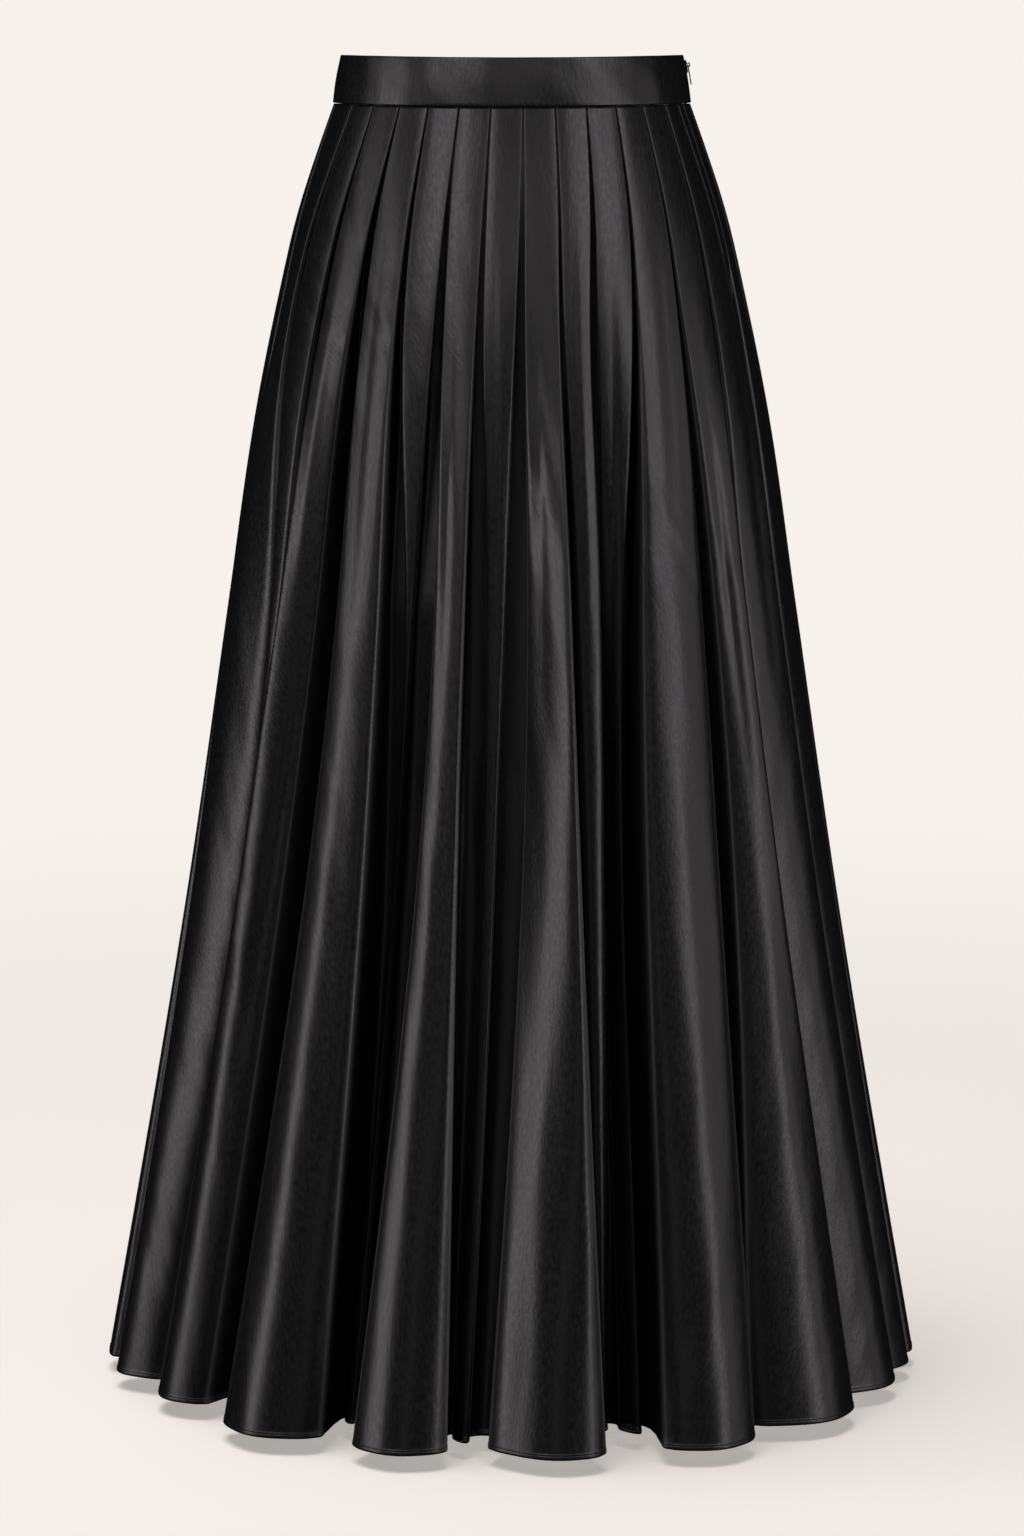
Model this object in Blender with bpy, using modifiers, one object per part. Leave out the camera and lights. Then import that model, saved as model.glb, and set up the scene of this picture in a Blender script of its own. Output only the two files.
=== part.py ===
"""Pleated maxi skirt, worn shape with no wearer.

Metres, +Z up.  The origin is the middle of the waist opening, halfway up the
waistband.  The front faces -Y and the zip is in the side seam at +X.
The skirt is a front and a back panel.  Fourteen inverted pleats are sewn flat
into the seam of each and open into deep hanging folds at the hem; the front
has one more, which begins below the seam.
"""

import math

import bmesh
import bpy
import numpy as np
from mathutils import Matrix

PART_NAME = "pleated_maxi_skirt"

# Cloth and seams
CLOTH_WALL = 0.0010
BAND_WALL = 0.0030
SEAM_GAP = 0.0003

# Waistband.  Its lower face leans with its side, so its middle stands a
# little higher above the panels than the seam gap.
BAND_FOOT_GAP = 0.0007
BAND_HEIGHT = 0.0350
BAND_TOP_HALF_WIDTH = 0.1245
BAND_BOTTOM_HALF_WIDTH = 0.1306
BAND_DEPTH_RATIO = 0.752
BAND_COLUMNS = 36
BAND_ROWS = 4
BAND_EDGE_RADIUS = 0.0008
CENTRE_DIP = 0.0018

# Skirt panels
SEAM_DROP_FROM_ORIGIN = BAND_HEIGHT / 2
HEM_DROP = 0.9445
RING_DROPS = (0.0, 0.022, 0.055, 0.100, 0.150, 0.210, 0.280, 0.360, 0.460, 0.575, 0.700, 0.825, HEM_DROP)
LAYER_PITCH = 0.0016
PLEAT_PITCH = 0.0229
EVEN_PLEATS_A_HALF = 12
SIDE_GAP_ANGLE = 81.4
FRONT_PLEAT_SHIFT = -0.0036
BACK_PLEAT_SHIFT = 0.0

# Zip
ZIP_SLIT = 0.0018
TAPE_WIDTH = 0.0100
TAPE_WALL = 0.0010
TAPE_TOP = 0.0160
TAPE_END_DROP = 0.150
SIDE_FOLD_ROOM = 0.0125
SEAM_FACE_SHARE = 0.7

# The section of the skirt at each drop below the waist seam.  half_width,
# front_depth and back_depth are the reach of the cloth; fold_depth is how far
# a pleat goes in beside folds of full_width; overhang is how far its foot lies
# under the fold's face; the last four round the fold's edge, face and foot.
SECTION_COLUMNS = (
    "drop", "half_width", "front_depth", "back_depth", "fold_depth", "full_width",
    "overhang", "roll", "roll_drop", "crown", "foot_roll")
SECTION_ROWS = (
    (0.0000, 0.1295, 0.0973, 0.0973, 0.0032, 0.0200, 0.0095, 0.0000, 0.0016, 0.0000, 0.0000),
    (0.0300, 0.1402, 0.1068, 0.1090, 0.0036, 0.0200, 0.0095, 0.0001, 0.0016, 0.0001, 0.0002),
    (0.0750, 0.1550, 0.1193, 0.1245, 0.0075, 0.0200, 0.0092, 0.0002, 0.0016, 0.0003, 0.0005),
    (0.1425, 0.1712, 0.1352, 0.1440, 0.0190, 0.0200, 0.0080, 0.0004, 0.0018, 0.0006, 0.0012),
    (0.2160, 0.1862, 0.1490, 0.1580, 0.0310, 0.0205, 0.0065, 0.0008, 0.0023, 0.0012, 0.0025),
    (0.3640, 0.2087, 0.1715, 0.1775, 0.0460, 0.0240, 0.0055, 0.0020, 0.0034, 0.0025, 0.0050),
    (0.5890, 0.2425, 0.2005, 0.2040, 0.0620, 0.0320, 0.0075, 0.0055, 0.0065, 0.0045, 0.0085),
    (0.8200, 0.2812, 0.2327, 0.2350, 0.0710, 0.0400, 0.0095, 0.0100, 0.0110, 0.0065, 0.0125),
    (0.9445, 0.3032, 0.2510, 0.2530, 0.0750, 0.0450, 0.0100, 0.0125, 0.0140, 0.0075, 0.0140))
# A pleat beside a narrow fold goes in by at least this share of fold_depth,
# and by this share past a face that is set back.
NARROW_DEPTH_SHARE = 0.50
PAST_FACE_SHARE = 0.24
# Limits that keep the layers of cloth apart: the roll of an edge as a share of
# its fold's width, the roll of a foot as a share of the pleat's bottom, the
# least share of the overhang on a narrow fold, and half the space between the
# feet that meet under one fold.
EDGE_ROLL_SHARE = 0.30
FOOT_ROLL_SHARE = 0.36
LEAST_OVERHANG_SHARE = 0.30
HALF_FOOT_SPACING = 0.00115
WAIST_ARC_SAMPLES = 721

# Where the two edges of each fold stand, in degrees round the skirt from the
# centre of its half (negative towards that half's first side seam), how far
# its face is set back from the section, in metres, and the drop at which the
# pleat on its left begins.  A pleat that begins at 0 is sewn into the seam.
HIP_DROP = 0.138
MID_DROP = 0.350
FOLD_STATIONS = (0.0, HIP_DROP, MID_DROP, HEM_DROP)
FOLD_COLUMNS = (
    "hip_left", "hip_right", "mid_left", "mid_right", "hem_left", "hem_right",
    "mid_back", "hem_back", "begins")
FRONT_FOLDS = (
    (-76.6, -68.0, -86.0, -61.6, -88.3, -72.6, 0.000, 0.009, 0.0),
    (-64.8, -54.0, -59.6, -55.4, -71.3, -69.7, 0.004, 0.046, 0.0),
    (-51.6, -41.6, -53.8, -45.2, -68.6, -54.6, 0.003, 0.023, 0.0),
    (-38.4, -28.4, -38.1, -27.4, -46.0, -28.9, 0.000, 0.008, 0.0),
    (-26.5, -18.7, -23.4, -20.6, -30.2, -26.0, 0.013, 0.040, 0.0),
    (-16.2, -8.4, -15.7, -9.3, -22.9, -8.9, 0.000, -0.003, 0.0),
    (-6.7, 1.0, -5.4, -1.4, -7.7, -4.7, 0.007, 0.029, 0.0),
    (3.1, 11.3, 3.3, 11.2, -3.7, 13.4, 0.000, 0.000, 0.0),
    (12.4, 18.9, 13.5, 18.6, 14.6, 15.9, 0.008, 0.054, 0.0),
    (21.0, 30.1, 20.6, 25.6, 16.8, 20.4, 0.014, 0.029, 0.0),
    (31.7, 43.6, 27.2, 42.1, 21.2, 35.0, 0.000, -0.004, 0.0),
    (45.0, 56.0, 47.2, 55.0, 39.4, 54.8, 0.003, 0.005, 0.0),
    (57.8, 70.3, 57.0, 70.7, 63.9, 79.4, 0.003, 0.019, 0.0),
    (71.4, 81.6, 71.9, 87.4, 83.4, 92.6, 0.000, 0.004, 0.10))
BACK_FOLDS = (
    (-78.2, -67.5, -74.6, -62.5, -73.2, -59.8, 0.001, 0.005, 0.0),
    (-65.8, -54.5, -60.2, -54.4, -56.8, -53.8, 0.006, 0.034, 0.0),
    (-52.5, -42.0, -51.6, -41.4, -51.2, -37.6, 0.000, 0.004, 0.0),
    (-39.5, -29.5, -38.0, -31.2, -34.4, -31.2, 0.007, 0.030, 0.0),
    (-27.5, -18.0, -27.4, -16.8, -28.6, -14.8, 0.000, -0.002, 0.0),
    (-15.9, -8.5, -13.2, -9.8, -12.2, -10.0, 0.012, 0.043, 0.0),
    (-6.3, 1.2, -6.4, 1.4, -7.4, 5.2, 0.000, 0.000, 0.0),
    (3.3, 11.0, 5.0, 9.6, 7.8, 10.8, 0.008, 0.034, 0.0),
    (13.0, 21.0, 13.2, 23.0, 13.8, 27.4, 0.000, 0.002, 0.0),
    (23.3, 31.5, 26.4, 30.6, 30.6, 33.8, 0.010, 0.040, 0.0),
    (33.8, 44.0, 34.0, 45.2, 37.4, 51.4, 0.000, 0.001, 0.0),
    (46.4, 57.2, 48.8, 54.2, 55.0, 57.8, 0.008, 0.036, 0.0),
    (59.5, 77.8, 58.0, 74.6, 61.2, 74.2, 0.001, 0.006, 0.0))
# Where an unsewn pleat's line would meet the seam, by half, in degrees.
FRONT_LATE_ANGLES = (69.5,)
BACK_LATE_ANGLES = ()

# Side seams, in degrees from the centre front, at the waist, hip, mid and hem,
# and the edges of the two folds that hold them, in degrees from the seam.
ZIP_SEAM_ANGLES = (90.0, 92.0, 96.0, 99.0)
PLAIN_SEAM_ANGLES = (-90.0, -91.0, -96.0, -97.5)
ZIP_SIDE_FRONT_EDGE = (8.6, 9.0, 7.2, 5.2)
ZIP_SIDE_BACK_EDGE = (8.6, 8.5, 8.0, 6.0)
PLAIN_SIDE_FRONT_EDGE = (8.6, 12.6, 8.4, 7.0)
PLAIN_SIDE_BACK_EDGE = (8.6, 9.2, 8.0, 6.2)

# The way an unsewn pleat grows: the length over which it opens, and where its
# four points lie along the flat cloth above that.
LATE_PLEAT_LENGTH = 0.140
LATE_PLEAT_SPREAD = (0.0045, 0.0032, 0.0019, 0.0006)

# Slider and pull tab, measured from the waistband's outer face
SLIDER_HEIGHT_ABOVE_ORIGIN = 0.0092
SLIDER_PLATE = (0.0012, 0.0044, 0.0092)
SLIDER_NECK_WIDTH = 0.0011
SLIDER_NECK_HEIGHT = 0.0070
SLIDER_WING = (0.0011, 0.0048, 0.0084)
LOOP_WIDTH = 0.0010
LOOP_BAR = 0.0008
LOOP_HALF_WINDOW = 0.0008
PIVOT_FROM_FACE = 0.0022
PIVOT_ABOVE_SLIDER = 0.0010
PULL_SIZE = (0.0008, 0.0033, 0.0149)
PULL_HOLE = (0.0017, 0.0020)
METAL_EDGE = 0.0002
STOP_SIZE = (0.0014, 0.0044, 0.0036)
STOP_LEAN_SPAN = 0.020

SATIN = ("black_satin", (0.012, 0.011, 0.012, 1.0), 0.42, 0.0)
TAPE = ("black_tape", (0.015, 0.015, 0.016, 1.0), 0.85, 0.0)
METAL = ("black_metal", (0.030, 0.030, 0.032, 1.0), 0.30, 0.9)


def smooth(stations, values, at):
    """Value at a station on the smooth curve through the given ones."""
    stations = np.asarray(stations)
    values = np.asarray(values)
    slopes = np.gradient(values, stations, axis=0)
    last = len(stations) - 2
    k = min(max(int(np.searchsorted(stations, at)) - 1, 0), last)
    span = stations[k + 1] - stations[k]
    t = (at - stations[k]) / span
    start = (1 + 2 * t) * (1 - t) ** 2 * values[k] + t * (1 - t) ** 2 * span * slopes[k]
    end = t * t * (3 - 2 * t) * values[k + 1] + t * t * (t - 1) * span * slopes[k + 1]
    return start + end


def section(drop):
    """The section's sizes at a drop below the waist seam, by column name."""
    rows = np.array(SECTION_ROWS)
    values = smooth(rows[:, 0], rows, drop)
    return dict(zip(SECTION_COLUMNS, values))


def placed(drop, angle, along, out):
    """A point round the skirt, moved along the section and out from it."""
    sizes = section(drop)
    turn = math.radians(angle)
    depth = sizes["front_depth"] if math.cos(turn) > 0 else sizes["back_depth"]
    width = sizes["half_width"]
    turn += along / math.hypot(width * math.cos(turn), depth * math.sin(turn))
    normal = np.array((depth * math.sin(turn), width * math.cos(turn)))
    normal /= np.linalg.norm(normal)
    x = width * math.sin(turn) + out * normal[0]
    y = -depth * math.cos(turn) - out * normal[1]
    dip = CENTRE_DIP * math.cos(turn) ** 2 * (1 - drop / HEM_DROP)
    return x, y, -SEAM_DROP_FROM_ORIGIN - drop - dip


def speed_at(drop, angle):
    """Length of the section per radian at an angle."""
    sizes = section(drop)
    turn = math.radians(angle)
    depth = sizes["front_depth"] if math.cos(turn) > 0 else sizes["back_depth"]
    return math.hypot(sizes["half_width"] * math.cos(turn), depth * math.sin(turn))


def pleat_angles(shift, late_angles):
    """Angles at the waist, from the centre of a half, of all its pleats."""
    turns = np.linspace(-90.0, 90.0, WAIST_ARC_SAMPLES)
    steps = np.array([speed_at(0.0, turn) for turn in turns]) * math.radians(turns[1] - turns[0])
    arc = np.cumsum(steps)
    arc -= arc[len(arc) // 2]
    places = (np.arange(EVEN_PLEATS_A_HALF) - (EVEN_PLEATS_A_HALF - 1) / 2) * PLEAT_PITCH + shift
    even = np.interp(places, arc, turns)
    return sorted((-SIDE_GAP_ANGLE, *even, *late_angles, SIDE_GAP_ANGLE))


def half_layout(folds, gaps, turned, first_seam, first_edge, last_seam, last_edge):
    """Edge angles and set-backs, waist to hem, of every fold of one half."""
    edge_shift = [math.degrees(LAYER_PITCH / 2 / speed_at(0.0, gap)) for gap in gaps]
    layout = []
    for number, row in enumerate(folds):
        fold = dict(zip(FOLD_COLUMNS, row))
        waist_left = gaps[number] + edge_shift[number]
        waist_right = gaps[number + 1] - edge_shift[number + 1]
        left = (waist_left, fold["hip_left"], fold["mid_left"], fold["hem_left"])
        right = (waist_right, fold["hip_right"], fold["mid_right"], fold["hem_right"])
        layout.append({
            "left": np.array(left) + turned,
            "right": np.array(right) + turned,
            "back": (0.0, 0.0, fold["mid_back"], fold["hem_back"]),
            "begins": fold["begins"]})
    waist_only = np.array((edge_shift[0], 0.0, 0.0, 0.0))
    flush = {"back": (0.0, 0.0, 0.0, 0.0), "begins": 0.0}
    first = {"left": first_seam, "right": first_seam + first_edge - waist_only, **flush}
    last = {"left": last_seam - last_edge + waist_only, "right": last_seam, **flush}
    return [first, *layout, last]


def fold_at(fold, drop, side_fold):
    """A fold's edge angles, width, set-back and room for its pleat's foot."""
    left = smooth(FOLD_STATIONS, fold["left"], drop)
    right = smooth(FOLD_STATIONS, fold["right"], drop)
    width = math.radians(right - left) * speed_at(drop, (left + right) / 2)
    return {
        "left": left,
        "right": right,
        "back": smooth(FOLD_STATIONS, fold["back"], drop),
        "seen": width,
        "width": 2 * width if side_fold else width,
        "room": width - SIDE_FOLD_ROOM if side_fold else width / 2 - HALF_FOOT_SPACING,
        "begins": fold["begins"]}


def fold_side(drop, fold, side, depth, foot_roll, growth):
    """Face, crease, foot and valley points of one edge of a fold."""
    sizes = section(drop)
    share = (depth - fold["back"]) / sizes["fold_depth"]
    roll = min(sizes["roll"] * share, EDGE_ROLL_SHARE * fold["seen"])
    crease = max(sizes["roll_drop"] * share, LAYER_PITCH)
    overhang = fold_overhang(sizes, fold)
    folded = (
        (roll, -fold["back"]),
        (0.0, -fold["back"] - crease),
        (overhang, crease - depth),
        (overhang - foot_roll, -depth))
    angle = fold["right"] if side > 0 else fold["left"]
    points = []
    for (inward, out), flat_inward in zip(folded, LATE_PLEAT_SPREAD):
        inward = flat_inward + (inward - flat_inward) * growth
        points.append(placed(drop, angle, -side * inward, out * growth))
    return points


def fold_overhang(sizes, fold):
    """How far a pleat's foot lies under the face of the fold beside it."""
    fullness = min(max(fold["width"] / sizes["full_width"], LEAST_OVERHANG_SHARE), 1.0)
    return min(sizes["overhang"] * fullness, fold["room"])


def pleat_points(drop, before, after):
    """Points of the pleat between two folds, from one face to the other."""
    sizes = section(drop)
    narrower = min(before["width"], after["width"])
    fullness = min(narrower / sizes["full_width"], 1.0)
    depth = sizes["fold_depth"] * (NARROW_DEPTH_SHARE + (1 - NARROW_DEPTH_SHARE) * fullness)
    furthest_back = max(before["back"], after["back"])
    depth = max(depth, furthest_back + PAST_FACE_SHARE * sizes["fold_depth"])
    gap = math.radians(after["left"] - before["right"]) * speed_at(drop, after["left"])
    bottom = gap + fold_overhang(sizes, before) + fold_overhang(sizes, after)
    foot_roll = min(sizes["foot_roll"] * depth / sizes["fold_depth"], FOOT_ROLL_SHARE * bottom)
    growth = 1.0
    if after["begins"] > 0.0:
        share = min(max((drop - after["begins"]) / LATE_PLEAT_LENGTH, 0.0), 1.0)
        growth = share * share * (3 - 2 * share)
    inwards = fold_side(drop, before, 1, depth, foot_roll, growth)
    outwards = fold_side(drop, after, -1, depth, foot_roll, growth)
    return inwards + outwards[::-1]


def half_ring(layout, drop):
    """Points of one half's cloth at a drop, from its first seam to its last."""
    sizes = section(drop)
    last = len(layout) - 1
    folds = [fold_at(fold, drop, k in (0, last)) for k, fold in enumerate(layout)]
    points = [
        placed(drop, folds[0]["left"], SEAM_GAP / 2, sizes["crown"]),
        placed(drop, folds[0]["left"], SEAM_FACE_SHARE * folds[0]["seen"], sizes["crown"] / 2)]
    for before, after in zip(folds[:-1], folds[1:]):
        points += pleat_points(drop, before, after)
        if after is not folds[-1]:
            crown = sizes["crown"] * min(after["width"] / sizes["full_width"], 1.0)
            middle = (after["left"] + after["right"]) / 2
            points.append(placed(drop, middle, 0.0, crown - after["back"]))
    points += [
        placed(drop, folds[-1]["right"], -SEAM_FACE_SHARE * folds[-1]["seen"], sizes["crown"] / 2),
        placed(drop, folds[-1]["right"], -SEAM_GAP / 2, sizes["crown"])]
    return points


def sheet_object(name, rings, wall, material, collection):
    """A wall of even thickness round the surface through rings of points."""
    mesh = bpy.data.meshes.new(name)
    bm = bmesh.new()
    rows = [[bm.verts.new(point) for point in ring] for ring in rings]
    for upper, lower in zip(rows[:-1], rows[1:]):
        for k in range(len(upper) - 1):
            bm.faces.new((upper[k], lower[k], lower[k + 1], upper[k + 1]))
    bm.to_mesh(mesh)
    bm.free()
    mesh.materials.append(material)
    sheet = bpy.data.objects.new(name, mesh)
    collection.objects.link(sheet)
    solidify = sheet.modifiers.new("wall", "SOLIDIFY")
    solidify.thickness = wall
    solidify.offset = 0.0
    solidify.use_even_offset = True
    solidify.use_rim = True
    return sheet


def band_point(angle, along, rise, inset):
    """A point of the waistband, rise above the origin, inset from its outside."""
    share = 0.5 - rise / BAND_HEIGHT
    width = BAND_TOP_HALF_WIDTH + (BAND_BOTTOM_HALF_WIDTH - BAND_TOP_HALF_WIDTH) * share
    depth = width * BAND_DEPTH_RATIO
    turn = math.radians(angle)
    turn += along / math.hypot(width * math.cos(turn), depth * math.sin(turn))
    normal = np.array((depth * math.sin(turn), width * math.cos(turn)))
    normal /= np.linalg.norm(normal)
    dip = CENTRE_DIP * math.cos(turn) ** 2
    return (width * math.sin(turn) - inset * normal[0],
            -depth * math.cos(turn) + inset * normal[1],
            rise - dip)


def waistband(name, first_angle, last_angle, first_gap, last_gap, material, collection):
    """Half of the waistband, a doubled strip with soft edges."""
    rings = []
    for row in range(BAND_ROWS + 1):
        rise = BAND_HEIGHT / 2 - (BAND_HEIGHT - BAND_FOOT_GAP) * row / BAND_ROWS
        ring = [band_point(first_angle, first_gap, rise, BAND_WALL / 2)]
        for column in range(1, BAND_COLUMNS):
            angle = first_angle + (last_angle - first_angle) * column / BAND_COLUMNS
            ring.append(band_point(angle, 0.0, rise, BAND_WALL / 2))
        ring.append(band_point(last_angle, -last_gap, rise, BAND_WALL / 2))
        rings.append(ring)
    band = sheet_object(name, rings, BAND_WALL, material, collection)
    bevel = band.modifiers.new("soft edges", "BEVEL")
    bevel.width = BAND_EDGE_RADIUS
    bevel.segments = 2
    bevel.limit_method = "ANGLE"
    bevel.angle_limit = math.radians(50)
    return band


def zip_tape(name, side, layout, seam_index, next_index, material, collection):
    """A tape behind one side of the zip: side is -1 for the front, 1 for the back."""
    edges = (ZIP_SLIT / 2, ZIP_SLIT / 2 + TAPE_WIDTH)
    behind_band = BAND_WALL + SEAM_GAP + TAPE_WALL / 2
    behind_cloth = CLOTH_WALL / 2 + SEAM_GAP + TAPE_WALL / 2
    rings = []
    for rise in (TAPE_TOP, 0.0, BAND_FOOT_GAP - BAND_HEIGHT / 2):
        rings.append([band_point(90.0, side * edge, rise, behind_band) for edge in edges])
    for drop in RING_DROPS:
        if 0.0 < drop <= TAPE_END_DROP:
            ring = half_ring(layout, drop)
            seam = np.array(ring[seam_index])
            along = np.array(ring[next_index]) - seam
            along /= np.linalg.norm(along)
            inward = np.array((-abs(along[1]), along[0] * np.sign(along[1]), 0.0))
            start = seam + behind_cloth * inward
            rings.append([tuple(start + edge * along) for edge in edges])
    if side < 0:
        rings = [ring[::-1] for ring in rings]
    return sheet_object(name, rings, TAPE_WALL, material, collection)


def block(name, size, centre):
    """A box of the given size with its middle at centre."""
    bpy.ops.mesh.primitive_cube_add(size=1.0, location=(0.0, 0.0, 0.0))
    box = bpy.context.object
    box.name = name
    box.data.transform(Matrix.Translation(centre) @ Matrix.Diagonal((*size, 1.0)))
    return box


def combine(target, others, operation):
    """Joins or cuts the target with the others and removes them."""
    for other in others:
        modifier = target.modifiers.new(operation.lower(), "BOOLEAN")
        modifier.operation = operation
        modifier.solver = "EXACT"
        modifier.object = other
        bpy.context.view_layer.update()
        evaluated = target.evaluated_get(bpy.context.evaluated_depsgraph_get())
        mesh = bpy.data.meshes.new_from_object(evaluated)
        target.modifiers.clear()
        old = target.data
        target.data = mesh
        bpy.data.meshes.remove(old)
        bpy.data.objects.remove(other)


def finish_metal(piece, name, frame, material, collection, bevel_width):
    """Names a metal piece, places it by its frame and softens its edges."""
    piece.name = name
    piece.data.name = name
    piece.data.materials.clear()
    piece.data.materials.append(material)
    piece.matrix_world = frame
    for owner in list(piece.users_collection):
        owner.objects.unlink(piece)
    collection.objects.link(piece)
    if bevel_width:
        bevel = piece.modifiers.new("worn edges", "BEVEL")
        bevel.width = bevel_width
        bevel.segments = 2
        bevel.limit_method = "ANGLE"
        bevel.angle_limit = math.radians(40)


def band_lean():
    """Angle by which the waistband's side leans in from the vertical."""
    return math.atan2(BAND_BOTTOM_HALF_WIDTH - BAND_TOP_HALF_WIDTH, BAND_HEIGHT)


def slider_frame():
    """Frame on the waistband's outer face: local X out, local Z up the zip."""
    x, _, z = band_point(90.0, 0.0, SLIDER_HEIGHT_ABOVE_ORIGIN, 0.0)
    return Matrix.Translation((x, 0.0, z)) @ Matrix.Rotation(-band_lean(), 4, "Y")


def zip_slider(material, collection):
    """Slider: outer plate, neck through the slit, inner wing and pull loop."""
    plate_out = SEAM_GAP + SLIDER_PLATE[0]
    wing_in = BAND_WALL + 2 * SEAM_GAP + TAPE_WALL
    slider = block("slider", SLIDER_PLATE, (SEAM_GAP + SLIDER_PLATE[0] / 2, 0.0, 0.0))
    neck_length = plate_out / 2 + wing_in + SLIDER_WING[0] / 2
    neck = block("neck", (neck_length, SLIDER_NECK_WIDTH, SLIDER_NECK_HEIGHT),
                 (plate_out / 2 - neck_length / 2, 0.0, 0.0))
    wing = block("wing", SLIDER_WING, (-wing_in - SLIDER_WING[0] / 2, 0.0, 0.0))
    loop_out = PIVOT_FROM_FACE + LOOP_HALF_WINDOW + LOOP_BAR
    loop_in = plate_out - SLIDER_PLATE[0] / 2
    loop_height = 2 * (LOOP_HALF_WINDOW + LOOP_BAR)
    loop = block("loop", (loop_out - loop_in, LOOP_WIDTH, loop_height),
                 ((loop_out + loop_in) / 2, 0.0, PIVOT_ABOVE_SLIDER))
    window_out = PIVOT_FROM_FACE + LOOP_HALF_WINDOW
    window = block("window", (window_out - plate_out, 2 * LOOP_WIDTH, 2 * LOOP_HALF_WINDOW),
                   ((window_out + plate_out) / 2, 0.0, PIVOT_ABOVE_SLIDER))
    combine(loop, [window], "DIFFERENCE")
    combine(slider, [neck, wing, loop], "UNION")
    finish_metal(slider, "zip_slider", slider_frame(), material, collection, METAL_EDGE / 2)


def zip_pull_tab(material, collection):
    """Pull tab, hung on the slider's loop by the bar above its hole."""
    thickness, width, length = PULL_SIZE
    bar = LOOP_BAR / 2
    tab = block("tab", PULL_SIZE, (0.0, 0.0, bar - length / 2))
    hole_width, hole_height = PULL_HOLE
    hole = block("hole", (2 * thickness, hole_width, hole_height), (0.0, 0.0, -bar - hole_height / 2))
    combine(tab, [hole], "DIFFERENCE")
    frame = slider_frame() @ Matrix.Translation((PIVOT_FROM_FACE, 0.0, PIVOT_ABOVE_SLIDER))
    finish_metal(tab, "zip_pull_tab", frame, material, collection, METAL_EDGE)


def zip_bottom_stop(material, collection):
    """Small block clamped over both tapes at the zip's lower end."""
    angle = smooth(FOLD_STATIONS, ZIP_SEAM_ANGLES, TAPE_END_DROP)
    crown = section(TAPE_END_DROP)["crown"]
    middle = np.array(placed(TAPE_END_DROP, angle, 0.0, crown))
    above = placed(TAPE_END_DROP - STOP_LEAN_SPAN, angle, 0.0, crown)
    outward = np.array(placed(TAPE_END_DROP, angle, 0.0, 1.0)) - middle
    lean = math.atan2(middle[0] - above[0], above[2] - middle[2])
    facing = Matrix.Rotation(math.atan2(outward[1], outward[0]), 4, "Z")
    frame = Matrix.Translation(middle) @ facing @ Matrix.Rotation(-lean, 4, "Y")
    inset = CLOTH_WALL / 2 + 2 * SEAM_GAP + TAPE_WALL + STOP_SIZE[0] / 2
    stop = block("stop", STOP_SIZE, (-inset, 0.0, STOP_SIZE[2]))
    finish_metal(stop, "zip_bottom_stop", frame, material, collection, METAL_EDGE)


def material_from(spec):
    """A Principled material from a name, a colour, a roughness and a metallic value."""
    name, colour, roughness, metallic = spec
    material = bpy.data.materials.new(name)
    material.use_nodes = True
    shader = material.node_tree.nodes["Principled BSDF"]
    shader.inputs["Base Color"].default_value = colour
    shader.inputs["Roughness"].default_value = roughness
    shader.inputs["Metallic"].default_value = metallic
    return material


def main():
    for old in list(bpy.data.objects):
        bpy.data.objects.remove(old)
    collection = bpy.data.collections.new(PART_NAME)
    bpy.context.scene.collection.children.link(collection)
    satin = material_from(SATIN)
    tape = material_from(TAPE)
    metal = material_from(METAL)

    zip_seam = np.array(ZIP_SEAM_ANGLES)
    plain_seam = np.array(PLAIN_SEAM_ANGLES)
    front_gaps = pleat_angles(FRONT_PLEAT_SHIFT, FRONT_LATE_ANGLES)
    back_gaps = pleat_angles(BACK_PLEAT_SHIFT, BACK_LATE_ANGLES)
    front = half_layout(FRONT_FOLDS, front_gaps, 0.0, plain_seam, PLAIN_SIDE_FRONT_EDGE,
                        zip_seam, ZIP_SIDE_FRONT_EDGE)
    back = half_layout(BACK_FOLDS, back_gaps, 180.0, zip_seam, ZIP_SIDE_BACK_EDGE,
                       plain_seam + 360.0, PLAIN_SIDE_BACK_EDGE)
    for name, layout in (("skirt_front", front), ("skirt_back", back)):
        rings = [half_ring(layout, drop) for drop in RING_DROPS]
        sheet_object(name, rings, CLOTH_WALL, satin, collection)

    waistband("waistband_front", -90.0, 90.0, SEAM_GAP / 2, ZIP_SLIT / 2, satin, collection)
    waistband("waistband_back", 90.0, 270.0, ZIP_SLIT / 2, SEAM_GAP / 2, satin, collection)
    zip_tape("zip_tape_front", -1, front, -1, -2, tape, collection)
    zip_tape("zip_tape_back", 1, back, 0, 1, tape, collection)
    zip_slider(metal, collection)
    zip_pull_tab(metal, collection)
    zip_bottom_stop(metal, collection)


main()
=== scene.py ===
import math

import bmesh
import bpy
import numpy as np
from mathutils import Matrix, Vector


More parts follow.
